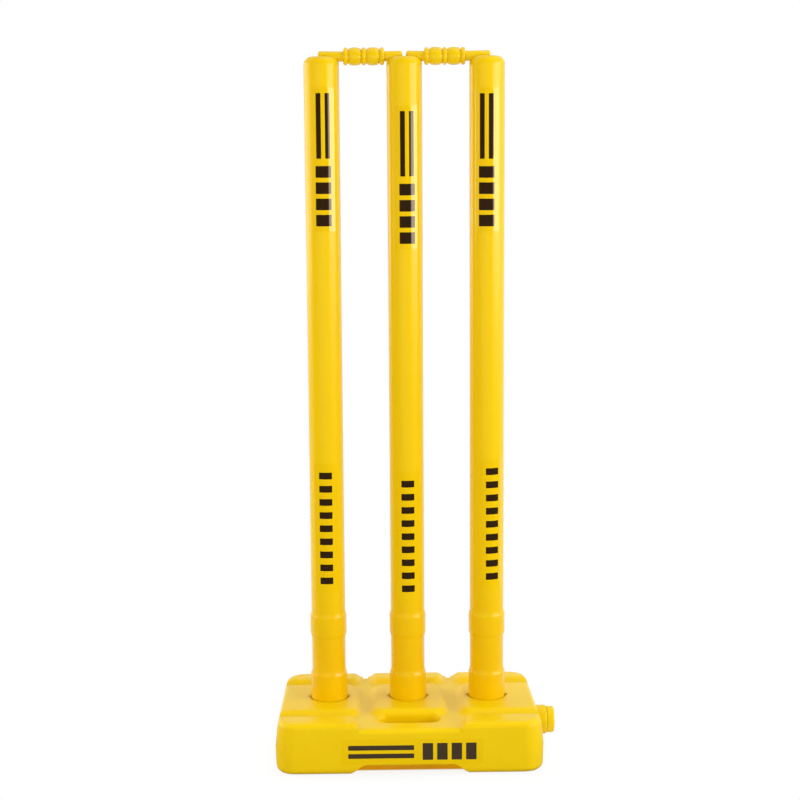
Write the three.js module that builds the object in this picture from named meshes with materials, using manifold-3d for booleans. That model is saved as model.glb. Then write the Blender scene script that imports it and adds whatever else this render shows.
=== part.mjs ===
// A free-standing cricket wicket: three hollow stumps in the sockets of a fillable base tank,
// two bails lying in the channels across the stump tops, and the tank's screw cap and seal.
// Millimetres. X runs along the wicket, Y to the back, Z up. The origin is on the ground
// under the middle stump.
import * as THREE from "three";
import { mergeVertices } from "three/addons/utils/BufferGeometryUtils.js";
import Module from "manifold-3d";

const wasm = await Module();
wasm.setup();

// The wicket as a whole.
const STUMP_TOP = 711; // height of the stump tops above the ground
const STUMP_SPACING = 82; // between the axes of neighbouring stumps
const CLEARANCE = 0.3; // between pieces that rest on or turn in each other
const OVERRUN = 20; // how far a cutter runs past what it cuts

// Stump: a blow-moulded tube with a foot, a plain neck and a collar.
const STUMP_WALL = 1.8;
const FOOT_R = 18.8;
const FOOT_SHOW = 26; // foot above the deck, up to its shoulder
const SHOULDER_RISE = 6.5; // hollow flare from the foot's edge to the neck
const FOOT_CHAMFER = 2;
const NECK_R = 17.3;
const NECK_LENGTH = 32.5;
const COLLAR_R = 18.6;
const COLLAR_LENGTH = 17.1; // its cylindrical band
const COLLAR_SLOPE_LOW = 6; // rounded shoulder below the band
const COLLAR_SLOPE_HIGH = 6; // hollow flare above the band
const EDGE_BAND = 0.4; // narrow ring that keeps the edge of a flare crisp
const SHAFT_R = 17.4;
const CROWN_R = 17.6; // the shaft just below its rounded top
const CROWN_ROUND = 7.5; // radius of the rounded top edge
const CROWN_RISE = 0.4; // how far the top swells above that edge
const KEY_HEIGHT = 2.2; // rib on each side of the foot, standing out of it
const KEY_WIDTH = 4.6;
const KEY_BELOW_DECK = 2.5;

// Bail: a turned bar with two plain spigots, three beads and two bulges.
const SPIGOT_R = 5.35;
const SPIGOT_ROOT_R = 5; // where the spigot meets the barrel
const SPIGOT_CHAMFER = 2.4;
const BEAD_R = 8.8;
const BEAD_WIDTH = 4.4;
const BULGE_R = 8.9;
const BULGE_END_R = 7.6;
const VALLEY_R = 6.9;
const VALLEY_WIDTH = 0.7;
const BAIL_AXIS_DROP = 0.7; // axis of a seated bail below the stump tops
const BAIL_END_GAP = 3.4; // between the two bail ends on the middle stump
const BAIL_OVERHANG = 3.3; // past the axis of an outer stump
const BARREL_INNER_GAP = 2.2; // barrel to the middle stump
const BARREL_OUTER_GAP = 4.2; // barrel to an outer stump

// Tank: a blow-moulded shell whose deck carries eight raised pads.
const TANK_WALL = 2.5;
const DECK_HEIGHT = 53.5; // tops of the pads
const PAD_RISE = 6.2; // pads above the low deck
const PARTING_HEIGHT = 25.5; // the mould's parting line, where the tank is widest
const END_REACH = 54; // from an outer stump's axis to the tank's widest point
const END_LEAN = 3; // how far an end wall leans in from the parting line to the deck
const END_TAPER = 5; // how far it also runs in from the front wall to the back wall
const FACE_LEAN = 0.8; // the lean of the front and back walls
const LOW_LEAN = 0.8; // how far every wall leans in from the parting line to the ground
const TANK_CORNER = 20; // plan radius of the upright corners
const GROUND_FILLET = 6;
const DECK_FILLET = 6;
const PAD_CORNER = 7;
const PAD_SLOPE = 11; // run of a pad's S-shaped side
const BLOCK_SLOPE = 7.5; // the same on the two front blocks
const PAD_MARGIN = 23.5; // from an outer stump's axis to its pad's inner edge
const TROUGH_WIDTH = 27.4; // between the pads of two neighbouring stumps
const GROOVE_WIDTH = 22; // between the front, middle and back rows of pads
const MIDDLE_PAD_FRONT = 42; // from the stump line to the front edge of its pads
const MIDDLE_PAD_BACK = 37;
const FRONT_BLOCK_DEPTH = 26.5;
const BACK_PAD_DEPTH = 23;

// Sockets: wells that hang from the deck, each with two keyways.
const SOCKET_FLOOR = 7.5; // height of a well's floor above the ground
const SOCKET_CLEARANCE = 0.4;
const SOCKET_LEAD = 1.2; // rounding of the rim
const KEYWAY_CLEARANCE = 0.4;

// Carrying handle: a slot through the tank behind the front wall, and an arch under it.
const HANDLE_BAR = 24; // from the front wall to the slot
const SLOT_LENGTH = 60;
const SLOT_WIDTH = 19;
const SLOT_LIP = 3; // rounding of the slot's edge on the low deck
const SLOT_RIM_ROUND = 6; // rounding where its back wall meets the middle pad's slope
const SLOT_RIM_TURN = 50; // degrees that this rounding turns through
const SLOT_RIM_START = 0.4; // height above the low deck at which it begins
const ARCH_HEIGHT = 10.4;
const ARCH_WIDTH = 106.8; // at half height
const ARCH_SLOPE = 20.5; // run of its S-shaped ends
const ARCH_BEHIND_SLOT = 5;

// Filler: boss, neck, seal and screw cap on the right end wall, level with the parting line.
const BOSS_R = 15;
const BOSS_REACH = 8.7; // past the tank's widest point
const BOSS_ROUND = 2.2;
const BOSS_WALL = 3;
const FILLER_R = 10.4;
const FILLER_BORE_R = 8.9;
const FILLER_LENGTH = 5;
const THREAD_ROOM = 1.2; // between the neck and the cap's bore
const SEAL_THICKNESS = 1;
const SEAL_HOLE_R = 6;
const CAP_R = 13.6;
const CAP_ROUND = 2;
const CAP_FLOOR = 1.7;
const CAP_DOME = 0.6;

// Fineness of the round forms.
const STUMP_SIDES = 32;
const STUMP_HOLLOW_SIDES = 20;
const BAIL_SIDES = 20;
const CAP_SIDES = 32;
const SOCKET_SIDES = 32;
const CORNER_STEPS = 6;
const HOLLOW_CORNER_STEPS = 2;
const SLOT_STEPS = 7;
const PAD_CORNER_STEPS = 4;
const FILLET_STEPS = 3;
const PAD_STEPS = 6;
const HOLLOW_PAD_STEPS = 2;
const RIM_STEPS = 4;
const ARCH_STEPS = 8;
const HOLLOW_ARCH_STEPS = 3;
const CROWN_STEPS = 4;
const FLARE_STEPS = 3;
const BEAD_STEPS = 4;
const BULGE_STEPS = 5;
const CAP_STEPS = 3;
const MERGE_DISTANCE = 1e-4;

// Sizes and places that follow from the ones above.
const LOW_DECK = DECK_HEIGHT - PAD_RISE;
const TANK_HALF = STUMP_SPACING + END_REACH;
const TANK_FRONT = MIDDLE_PAD_FRONT + GROOVE_WIDTH + FRONT_BLOCK_DEPTH;
const TANK_BACK = MIDDLE_PAD_BACK + GROOVE_WIDTH + BACK_PAD_DEPTH;
const PAD_INNER_EDGE = STUMP_SPACING - PAD_MARGIN;
const CENTRE_PAD_HALF = PAD_INNER_EDGE - TROUGH_WIDTH;
const SOCKET_R = FOOT_R + SOCKET_CLEARANCE;
const FOOT_END = SOCKET_FLOOR + CLEARANCE;
const SHOULDER = DECK_HEIGHT + FOOT_SHOW;
const NECK_START = SHOULDER + SHOULDER_RISE;
const COLLAR_START = NECK_START + NECK_LENGTH;
const BAND_START = COLLAR_START + COLLAR_SLOPE_LOW;
const BAND_END = BAND_START + COLLAR_LENGTH;
const COLLAR_END = BAND_END + COLLAR_SLOPE_HIGH;
const BAIL_AXIS = STUMP_TOP - BAIL_AXIS_DROP;
const CHANNEL_R = SPIGOT_R + CLEARANCE;
const SLOT_BACK = TANK_FRONT - HANDLE_BAR - SLOT_WIDTH;
const BOSS_END = TANK_HALF + BOSS_REACH;
const FILLER_END = BOSS_END + FILLER_LENGTH;
const CAP_BORE_R = FILLER_R + THREAD_ROOM;
const BOSS_ROOT = TANK_HALF - END_LEAN - TANK_WALL; // inside the end wall

// Merges a geometry's corners and turns it into a solid for cutting and joining.
function solidFrom(geometry) {
  const bare = geometry.clone();
  bare.deleteAttribute("normal");
  bare.deleteAttribute("uv");
  const merged = mergeVertices(bare, MERGE_DISTANCE);
  const corners = merged.index.array;
  const kept = [];
  for (let i = 0; i < corners.length; i += 3) {
    const [a, b, c] = [corners[i], corners[i + 1], corners[i + 2]];
    if (a !== b && b !== c && c !== a) kept.push(a, b, c);
  }
  return new wasm.Manifold(
    new wasm.Mesh({
      numProp: 3,
      vertProperties: merged.attributes.position.array,
      triVerts: new Uint32Array(kept),
    }),
  );
}

// Turns a solid back into a geometry.
function geometryFrom(solid) {
  const mesh = solid.getMesh();
  const geometry = new THREE.BufferGeometry();
  geometry.setAttribute("position", new THREE.BufferAttribute(mesh.vertProperties, 3));
  geometry.setIndex(new THREE.BufferAttribute(mesh.triVerts, 1));
  geometry.computeVertexNormals();
  return geometry;
}

function joined(solids) {
  return solids.reduce((whole, next) => whole.add(next));
}

// A solid turned about the Z axis from [radius, height] points that run up the profile.
function turned(profile, sides) {
  const points = profile.map(([radius, height]) => new THREE.Vector2(radius, height));
  const geometry = new THREE.LatheGeometry(points, sides);
  geometry.rotateX(Math.PI / 2);
  return solidFrom(geometry);
}

function block(x0, x1, y0, y1, z0, z1) {
  const geometry = new THREE.BoxGeometry(x1 - x0, y1 - y0, z1 - z0);
  geometry.translate((x0 + x1) / 2, (y0 + y1) / 2, (z0 + z1) / 2);
  return solidFrom(geometry);
}

// The points of a rounded rectangle at one height, anticlockwise from above.
function roundedRing(box, radius, z, steps) {
  const centres = [
    [box.x1 - radius, box.y1 - radius],
    [box.x0 + radius, box.y1 - radius],
    [box.x0 + radius, box.y0 + radius],
    [box.x1 - radius, box.y0 + radius],
  ];
  const ring = [];
  centres.forEach(([x, y], quarter) => {
    for (let i = 0; i <= steps; i++) {
      const angle = ((quarter + i / steps) * Math.PI) / 2;
      ring.push([x + radius * Math.cos(angle), y + radius * Math.sin(angle), z]);
    }
  });
  return ring;
}

// A solid skinned over convex rings of equally many points, from the bottom ring up.
function loft(rings) {
  const count = rings[0].length;
  const top = (rings.length - 1) * count;
  const index = [];
  for (let start = 0; start < top; start += count) {
    for (let i = 0; i < count; i++) {
      const a = start + i;
      const b = start + ((i + 1) % count);
      index.push(a, b, b + count, a, b + count, a + count);
    }
  }
  for (let i = 1; i < count - 1; i++) {
    index.push(0, i + 1, i);
    index.push(top, top + i, top + i + 1);
  }
  const geometry = new THREE.BufferGeometry();
  geometry.setAttribute("position", new THREE.Float32BufferAttribute(rings.flat(2), 3));
  geometry.setIndex(index);
  return solidFrom(geometry);
}

// The tank's plan at one height, drawn in by an inset, with the lean of its walls.
function tankBox(inset, z) {
  const above = Math.max(0, (z - PARTING_HEIGHT) / (DECK_HEIGHT - PARTING_HEIGHT));
  const below = Math.max(0, (PARTING_HEIGHT - z) / PARTING_HEIGHT);
  const ends = inset + END_LEAN * above + LOW_LEAN * below;
  const faces = inset + FACE_LEAN * above + LOW_LEAN * below;
  return {
    x0: ends - TANK_HALF,
    x1: TANK_HALF - ends,
    y0: faces - TANK_FRONT,
    y1: TANK_BACK - faces,
  };
}

// Draws a ring of the tank's plan in toward its back end.
function tapered(ring) {
  return ring.map(([x, y, z]) => {
    const share = (y + TANK_FRONT) / (TANK_FRONT + TANK_BACK);
    return [x * (1 - (share * END_TAPER) / TANK_HALF), y, z];
  });
}

// The tank without its deck relief: a rounded box up to one height, with filleted edges.
function tankBody(inset, top, edge, steps) {
  const ground = Math.max(GROUND_FILLET - Math.max(inset, 0), GROUND_FILLET / 2);
  const levels = [];
  for (let i = 0; i <= FILLET_STEPS; i++) {
    const angle = ((i / FILLET_STEPS) * Math.PI) / 2;
    const z = Math.max(inset, 0) + ground * (1 - Math.cos(angle));
    levels.push([z, inset + ground * (1 - Math.sin(angle))]);
  }
  levels.push([PARTING_HEIGHT, inset]);
  for (let i = 0; i <= FILLET_STEPS; i++) {
    const angle = ((i / FILLET_STEPS) * Math.PI) / 2;
    levels.push([top - edge * (1 - Math.sin(angle)), inset + edge * (1 - Math.cos(angle))]);
  }
  return loft(
    levels.map(([z, drawnIn]) =>
      tapered(roundedRing(tankBox(drawnIn, z), TANK_CORNER - drawnIn, z, steps)),
    ),
  );
}

// One raised pad: S-shaped sides round a flat top, rooted below the low deck.
function pad(box, slope, inset, steps) {
  const rings = [];
  const grown = (out) => ({
    x0: box.x0 + inset - out,
    x1: box.x1 - inset + out,
    y0: box.y0 + inset - out,
    y1: box.y1 - inset + out,
  });
  const root = LOW_DECK - inset - PAD_RISE;
  rings.push(roundedRing(grown(slope), PAD_CORNER + slope - inset, root, PAD_CORNER_STEPS));
  for (let i = 0; i <= steps; i++) {
    const share = i / steps;
    const out = slope * (1 - share);
    const z = LOW_DECK - inset + (PAD_RISE * (1 - Math.cos(Math.PI * share))) / 2;
    rings.push(roundedRing(grown(out), PAD_CORNER + out - inset, z, PAD_CORNER_STEPS));
  }
  return loft(rings);
}

// The eight pads: three rows of three, without the front middle one, which is the handle.
function pads(inset, steps) {
  const columns = [
    { side: -1, x0: -TANK_HALF - OVERRUN, x1: -PAD_INNER_EDGE },
    { side: 0, x0: -CENTRE_PAD_HALF, x1: CENTRE_PAD_HALF },
    { side: 1, x0: PAD_INNER_EDGE, x1: TANK_HALF + OVERRUN },
  ];
  const rows = [
    { front: true, y0: -TANK_FRONT - OVERRUN, y1: -MIDDLE_PAD_FRONT - GROOVE_WIDTH },
    { front: false, y0: -MIDDLE_PAD_FRONT, y1: MIDDLE_PAD_BACK },
    { front: false, y0: MIDDLE_PAD_BACK + GROOVE_WIDTH, y1: TANK_BACK + OVERRUN },
  ];
  const solids = [];
  for (const row of rows) {
    for (const column of columns) {
      if (row.front && column.side === 0) continue;
      const box = { x0: column.x0, x1: column.x1, y0: row.y0, y1: row.y1 };
      solids.push(pad(box, row.front ? BLOCK_SLOPE : PAD_SLOPE, inset, steps));
    }
  }
  return joined(solids);
}

// The tank's whole form, drawn in by an inset: the outside at 0, the hollow at the wall.
function tankForm(inset) {
  const edge = DECK_FILLET - inset;
  const cornerSteps = inset > 0 ? HOLLOW_CORNER_STEPS : CORNER_STEPS;
  const padSteps = inset > 0 ? HOLLOW_PAD_STEPS : PAD_STEPS;
  const full = tankBody(inset, DECK_HEIGHT - inset, edge, cornerSteps);
  const low = tankBody(inset - CLEARANCE, LOW_DECK - inset, DECK_FILLET, cornerSteps);
  return full.intersect(low.add(pads(inset, padSteps)));
}

// One stump socket and its keyways, grown by a wall where the tank's skin goes round it.
function socket(x, wall) {
  const radius = SOCKET_R + wall;
  const floor = SOCKET_FLOOR - wall;
  const rim = DECK_HEIGHT - wall;
  const well = turned(
    [
      [0, floor],
      [radius, floor],
      [radius, rim - SOCKET_LEAD],
      [radius + SOCKET_LEAD, rim],
      [radius + SOCKET_LEAD, DECK_HEIGHT + OVERRUN],
      [0, DECK_HEIGHT + OVERRUN],
    ],
    SOCKET_SIDES,
  );
  const reach = FOOT_R + KEY_HEIGHT + KEYWAY_CLEARANCE + wall;
  const half = KEY_WIDTH / 2 + KEYWAY_CLEARANCE + wall;
  const keyways = block(-reach, reach, -half, half, floor, DECK_HEIGHT + OVERRUN);
  return well.add(keyways).translate([x, 0, 0]);
}

// The handle's slot, whose edge rounds over into the low deck and the middle pad's slope.
function handleSlot(wall) {
  const levels = [[-OVERRUN, 0, 0]];
  for (let i = 0; i <= FILLET_STEPS; i++) {
    const angle = ((i / FILLET_STEPS) * Math.PI) / 2;
    const out = SLOT_LIP * (1 - Math.cos(angle));
    levels.push([LOW_DECK - wall - SLOT_LIP * (1 - Math.sin(angle)), out, 0]);
  }
  const start = LOW_DECK - wall + SLOT_RIM_START;
  const turn = THREE.MathUtils.degToRad(SLOT_RIM_TURN);
  for (let i = 0; i <= RIM_STEPS; i++) {
    const angle = (i / RIM_STEPS) * turn;
    const back = SLOT_RIM_ROUND * (1 - Math.cos(angle));
    levels.push([start + SLOT_RIM_ROUND * Math.sin(angle), SLOT_LIP, back]);
  }
  levels.push([DECK_HEIGHT + OVERRUN, SLOT_LIP, SLOT_RIM_ROUND * (1 - Math.cos(turn))]);
  return loft(
    levels.map(([z, lip, back]) => {
      const box = {
        x0: -SLOT_LENGTH / 2 - wall - lip,
        x1: SLOT_LENGTH / 2 + wall + lip,
        y0: HANDLE_BAR - TANK_FRONT - wall - lip,
        y1: wall + back - SLOT_BACK,
      };
      return roundedRing(box, (box.y1 - box.y0) / 2, z, SLOT_STEPS);
    }),
  );
}

// The arch under the handle: a flat roof with S-shaped ends, open to the front and below.
function handleArch(wall) {
  const outline = [];
  const half = ARCH_WIDTH / 2 + wall;
  const end = (side, share) => [
    side * (half + ARCH_SLOPE / 2 - ARCH_SLOPE * share),
    ((ARCH_HEIGHT + wall) * (1 - Math.cos(Math.PI * share))) / 2,
  ];
  const steps = wall > 0 ? HOLLOW_ARCH_STEPS : ARCH_STEPS;
  outline.push([-half - ARCH_SLOPE / 2, -OVERRUN], [half + ARCH_SLOPE / 2, -OVERRUN]);
  for (let i = 0; i <= steps; i++) outline.push(end(1, i / steps));
  for (let i = steps; i >= 0; i--) outline.push(end(-1, i / steps));
  const shape = new THREE.Shape(outline.map(([x, z]) => new THREE.Vector2(x, z)));
  const front = TANK_FRONT + OVERRUN;
  const depth = front - SLOT_BACK + ARCH_BEHIND_SLOT + wall;
  const geometry = new THREE.ExtrudeGeometry(shape, { depth, bevelEnabled: false });
  geometry.rotateX(Math.PI / 2);
  geometry.translate(0, depth - front, 0);
  return solidFrom(geometry);
}

// Stands a solid that was turned about Z on the right end wall, its Z axis along X.
function onEndWall(solid) {
  return solid.rotate([0, 90, 0]).translate([0, 0, PARTING_HEIGHT]);
}

function fillerBoss() {
  const profile = [
    [0, BOSS_ROOT],
    [BOSS_R, BOSS_ROOT],
  ];
  for (let i = 0; i <= CAP_STEPS; i++) {
    const angle = ((i / CAP_STEPS) * Math.PI) / 2;
    const radius = BOSS_R - BOSS_ROUND * (1 - Math.cos(angle));
    profile.push([radius, BOSS_END - BOSS_ROUND * (1 - Math.sin(angle))]);
  }
  profile.push([FILLER_R, BOSS_END], [FILLER_R, FILLER_END], [0, FILLER_END]);
  return onEndWall(turned(profile, CAP_SIDES));
}

function fillerBore() {
  return onEndWall(
    turned(
      [
        [0, BOSS_ROOT - OVERRUN],
        [BOSS_R - BOSS_WALL, BOSS_ROOT - OVERRUN],
        [BOSS_R - BOSS_WALL, BOSS_END - BOSS_WALL - BOSS_ROUND],
        [FILLER_BORE_R, BOSS_END - BOSS_WALL],
        [FILLER_BORE_R, FILLER_END + OVERRUN],
        [0, FILLER_END + OVERRUN],
      ],
      CAP_SIDES,
    ),
  );
}

function baseTank() {
  const stumpLines = [-STUMP_SPACING, 0, STUMP_SPACING];
  const hollow = tankForm(TANK_WALL)
    .subtract(joined(stumpLines.map((x) => socket(x, TANK_WALL))))
    .subtract(handleSlot(TANK_WALL))
    .subtract(handleArch(TANK_WALL));
  return tankForm(0)
    .add(fillerBoss())
    .subtract(hollow)
    .subtract(fillerBore())
    .subtract(joined(stumpLines.map((x) => socket(x, 0))))
    .subtract(handleSlot(0))
    .subtract(handleArch(0));
}

// The cap's cup, its mouth down, from the boss's face up to its slightly domed end.
function fillerCap() {
  const mouth = BOSS_END + CLEARANCE;
  const ceiling = FILLER_END + CLEARANCE + SEAL_THICKNESS + CLEARANCE;
  const end = ceiling + CAP_FLOOR;
  const profile = [
    [CAP_BORE_R, mouth],
    [CAP_R, mouth],
  ];
  for (let i = 0; i <= CAP_STEPS; i++) {
    const angle = ((i / CAP_STEPS) * Math.PI) / 2;
    const radius = CAP_R - CAP_ROUND * (1 - Math.cos(angle));
    profile.push([radius, end - CAP_DOME - CAP_ROUND * (1 - Math.sin(angle))]);
  }
  profile.push([0, end], [0, ceiling], [CAP_BORE_R, ceiling], [CAP_BORE_R, mouth]);
  return turned(profile, CAP_SIDES);
}

function fillerSeal() {
  const low = FILLER_END + CLEARANCE;
  const high = low + SEAL_THICKNESS;
  const radius = CAP_BORE_R - CLEARANCE;
  return turned(
    [
      [SEAL_HOLE_R, low],
      [radius, low],
      [radius, high],
      [SEAL_HOLE_R, high],
      [SEAL_HOLE_R, low],
    ],
    CAP_SIDES,
  );
}

// The hollow flare above an edge: steep at the edge, then running out into a slimmer part.
function flare(edgeRadius, endRadius, start, rise) {
  const points = [
    [edgeRadius, start - EDGE_BAND],
    [edgeRadius, start],
  ];
  for (let i = 1; i <= FLARE_STEPS; i++) {
    const share = i / FLARE_STEPS;
    const left = (1 - share) * (1 - share);
    points.push([endRadius + (edgeRadius - endRadius) * left, start + rise * share]);
  }
  return points;
}

// The rounded crown of a stump drawn in by an inset, from the shaft to the axis.
function crown(inset) {
  const points = [];
  const edge = STUMP_TOP - inset - CROWN_RISE;
  for (let i = 0; i <= CROWN_STEPS; i++) {
    const angle = ((i / CROWN_STEPS) * Math.PI) / 2;
    const radius = CROWN_R - CROWN_ROUND * (1 - Math.cos(angle)) - inset;
    points.push([radius, edge - CROWN_ROUND * (1 - Math.sin(angle))]);
  }
  points.push([0, STUMP_TOP - inset]);
  return points;
}

// The outside of a stump: foot, flare, neck, rounded shoulder, collar, flare, shaft and crown.
function stumpOutside() {
  const profile = [
    [0, FOOT_END],
    [FOOT_R - FOOT_CHAMFER, FOOT_END],
    [FOOT_R, FOOT_END + FOOT_CHAMFER],
    ...flare(FOOT_R, NECK_R, SHOULDER, SHOULDER_RISE),
  ];
  for (let i = 0; i <= FLARE_STEPS; i++) {
    const share = i / FLARE_STEPS;
    const radius = COLLAR_R - (COLLAR_R - NECK_R) * (1 - share) * (1 - share);
    profile.push([radius, COLLAR_START + COLLAR_SLOPE_LOW * share]);
  }
  profile.push(...flare(COLLAR_R, SHAFT_R, BAND_END, COLLAR_SLOPE_HIGH));
  profile.push([SHAFT_R, (COLLAR_END + STUMP_TOP) / 2], ...crown(0));
  return profile;
}

// The hollow of a stump, open at the foot: it follows the outside without its small forms.
function stumpHollow() {
  return [
    [0, FOOT_END - OVERRUN],
    [FOOT_R - STUMP_WALL, FOOT_END - OVERRUN],
    [FOOT_R - STUMP_WALL, SHOULDER - SHOULDER_RISE],
    [NECK_R - STUMP_WALL, SHOULDER],
    [NECK_R - STUMP_WALL, STUMP_TOP / 2],
    ...crown(STUMP_WALL),
  ];
}

// The round-bottomed channel across a stump's top, grown by a wall for the skin below it.
function bailChannel(wall) {
  const radius = CHANNEL_R + wall;
  const shape = new THREE.Shape();
  shape.moveTo(radius, OVERRUN);
  shape.lineTo(-radius, OVERRUN);
  shape.lineTo(-radius, 0);
  shape.absarc(0, 0, radius, Math.PI, 2 * Math.PI, false);
  const depth = 2 * (CROWN_R + OVERRUN);
  const options = { depth, bevelEnabled: false, curveSegments: CROWN_STEPS + CROWN_STEPS };
  const geometry = new THREE.ExtrudeGeometry(shape, options);
  geometry.translate(0, 0, -depth / 2);
  geometry.rotateX(Math.PI / 2);
  geometry.rotateZ(Math.PI / 2);
  geometry.translate(0, 0, BAIL_AXIS);
  return solidFrom(geometry);
}

function stump() {
  const reach = FOOT_R + KEY_HEIGHT;
  const half = KEY_WIDTH / 2;
  const top = DECK_HEIGHT - KEY_BELOW_DECK;
  const keys = block(-reach, reach, -half, half, FOOT_END + FOOT_CHAMFER, top);
  const hollow = turned(stumpHollow(), STUMP_HOLLOW_SIDES);
  return turned(stumpOutside(), STUMP_SIDES)
    .add(keys)
    .subtract(hollow.subtract(bailChannel(STUMP_WALL)))
    .subtract(bailChannel(0));
}

// A swelling of a bail, from one height to the next, rising from an end radius to a peak.
function swelling(start, length, endRadius, peakRadius, steps) {
  const points = [];
  for (let i = 0; i <= steps; i++) {
    const angle = (i / steps) * Math.PI;
    const height = start + (length * (1 - Math.cos(angle))) / 2;
    points.push([endRadius + (peakRadius - endRadius) * Math.sin(angle), height]);
  }
  return points;
}

// A bail along Z: it starts at the end on the middle stump and runs to the outer stump.
function bail() {
  const length = STUMP_SPACING + BAIL_OVERHANG - BAIL_END_GAP / 2;
  const barrelStart = CROWN_R + BARREL_INNER_GAP - BAIL_END_GAP / 2;
  const barrelEnd = length - BAIL_OVERHANG - CROWN_R - BARREL_OUTER_GAP;
  const taken = 3 * BEAD_WIDTH + 4 * VALLEY_WIDTH;
  const bulgeLength = (barrelEnd - barrelStart - taken) / 2;
  const profile = [
    [0, 0],
    [SPIGOT_R - SPIGOT_CHAMFER, 0],
    [SPIGOT_R, SPIGOT_CHAMFER],
    [SPIGOT_ROOT_R, barrelStart],
  ];
  let height = barrelStart;
  for (let i = 0; i < 3; i++) {
    profile.push(...swelling(height, BEAD_WIDTH, VALLEY_R, BEAD_R, BEAD_STEPS));
    height += BEAD_WIDTH + VALLEY_WIDTH;
    if (i === 2) break;
    profile.push(...swelling(height, bulgeLength, BULGE_END_R, BULGE_R, BULGE_STEPS));
    height += bulgeLength + VALLEY_WIDTH;
  }
  profile.push(
    [SPIGOT_ROOT_R, barrelEnd],
    [SPIGOT_R, length - SPIGOT_CHAMFER],
    [SPIGOT_R - SPIGOT_CHAMFER, length],
    [0, length],
  );
  return turned(profile, BAIL_SIDES);
}

const plastics = {
  tank: new THREE.MeshStandardMaterial({ color: 0xf0c808, roughness: 0.38, metalness: 0 }),
  stump: new THREE.MeshStandardMaterial({ color: 0xf5be00, roughness: 0.32, metalness: 0 }),
  bail: new THREE.MeshStandardMaterial({ color: 0xf5c400, roughness: 0.34, metalness: 0 }),
  cap: new THREE.MeshStandardMaterial({ color: 0xf2cc10, roughness: 0.4, metalness: 0 }),
  seal: new THREE.MeshStandardMaterial({ color: 0x26262a, roughness: 0.8, metalness: 0 }),
};

function piece(name, geometry, material) {
  const mesh = new THREE.Mesh(geometry, material);
  mesh.name = name;
  return mesh;
}

const wicket = new THREE.Group();
wicket.add(piece("base_tank", geometryFrom(baseTank()), plastics.tank));

const filler = new THREE.Group();
filler.position.z = PARTING_HEIGHT;
filler.rotation.y = Math.PI / 2;
filler.add(piece("filler_cap", geometryFrom(fillerCap()), plastics.cap));
filler.add(piece("filler_seal", geometryFrom(fillerSeal()), plastics.seal));
wicket.add(filler);

const stumpGeometry = geometryFrom(stump());
const bailGeometry = geometryFrom(bail());
const sides = [
  { word: "left", direction: -1 },
  { word: "middle", direction: 0 },
  { word: "right", direction: 1 },
];
for (const { word, direction } of sides) {
  const upright = piece("stump_" + word, stumpGeometry, plastics.stump);
  upright.position.x = direction * STUMP_SPACING;
  wicket.add(upright);
  if (direction === 0) continue;
  const crosspiece = piece("bail_" + word, bailGeometry, plastics.bail);
  crosspiece.position.set((direction * BAIL_END_GAP) / 2, 0, BAIL_AXIS);
  crosspiece.rotation.y = (direction * Math.PI) / 2;
  wicket.add(crosspiece);
}

export default wicket;
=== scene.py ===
# %% [markdown]
# # A free-standing cricket wicket
# The object is a practice wicket of yellow polyethylene: three hollow stumps plugged into a
# fillable base, and two bails across their tops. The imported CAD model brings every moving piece
# at its real size. This script gives those pieces their finish, and adds what a CAD solid leaves
# out: finely turned bails, the film labels, the mould seams, the screw threads and their ledge.

import math

import bpy
from mathutils import Matrix, Vector


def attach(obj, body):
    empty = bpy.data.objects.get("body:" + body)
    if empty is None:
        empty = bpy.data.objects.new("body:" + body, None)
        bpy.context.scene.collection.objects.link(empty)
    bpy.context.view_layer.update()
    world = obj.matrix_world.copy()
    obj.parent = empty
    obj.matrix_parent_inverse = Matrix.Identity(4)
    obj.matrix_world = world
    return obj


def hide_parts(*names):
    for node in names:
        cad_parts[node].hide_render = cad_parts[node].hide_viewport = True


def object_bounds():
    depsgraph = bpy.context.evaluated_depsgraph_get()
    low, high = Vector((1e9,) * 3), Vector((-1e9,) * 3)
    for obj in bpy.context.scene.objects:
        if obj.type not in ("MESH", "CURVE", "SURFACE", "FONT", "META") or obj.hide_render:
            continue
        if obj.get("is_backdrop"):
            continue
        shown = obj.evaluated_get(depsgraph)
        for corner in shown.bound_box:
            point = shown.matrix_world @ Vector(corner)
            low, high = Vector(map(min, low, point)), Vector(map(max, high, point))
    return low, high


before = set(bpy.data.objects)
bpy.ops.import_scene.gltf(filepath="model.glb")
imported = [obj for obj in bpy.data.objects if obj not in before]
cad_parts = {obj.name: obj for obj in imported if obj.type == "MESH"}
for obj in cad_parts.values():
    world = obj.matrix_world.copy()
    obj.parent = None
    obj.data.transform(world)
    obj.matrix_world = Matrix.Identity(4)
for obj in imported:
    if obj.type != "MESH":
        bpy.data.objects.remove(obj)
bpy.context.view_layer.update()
bpy.ops.object.select_all(action="DESELECT")

# %% [markdown]
# ## The camera
# The photograph looks slightly down on the wicket from about two metres, level with its top. The
# camera was fitted to the stumps, the bails and the edges of the base, so that the picture can be
# laid over the photograph. Its turn is built from the three directions of its view, because that
# is easier to check than three angles typed into the object.

# %% Set up the camera
MM = 0.001
EYE = Vector((-37.3, -1906.2, 686.1)) * MM
YAW = math.radians(0.93)
PITCH = math.radians(9.53)
ROLL = math.radians(-0.38)
LENS_MM = 85.5
SENSOR_MM = 36

ahead = Vector((math.sin(YAW) * math.cos(PITCH), math.cos(YAW) * math.cos(PITCH), -math.sin(PITCH)))
level_right = ahead.cross(Vector((0, 0, 1))).normalized()
level_up = level_right.cross(ahead)
right = level_right * math.cos(ROLL) + level_up * math.sin(ROLL)
up = level_up * math.cos(ROLL) - level_right * math.sin(ROLL)

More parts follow.
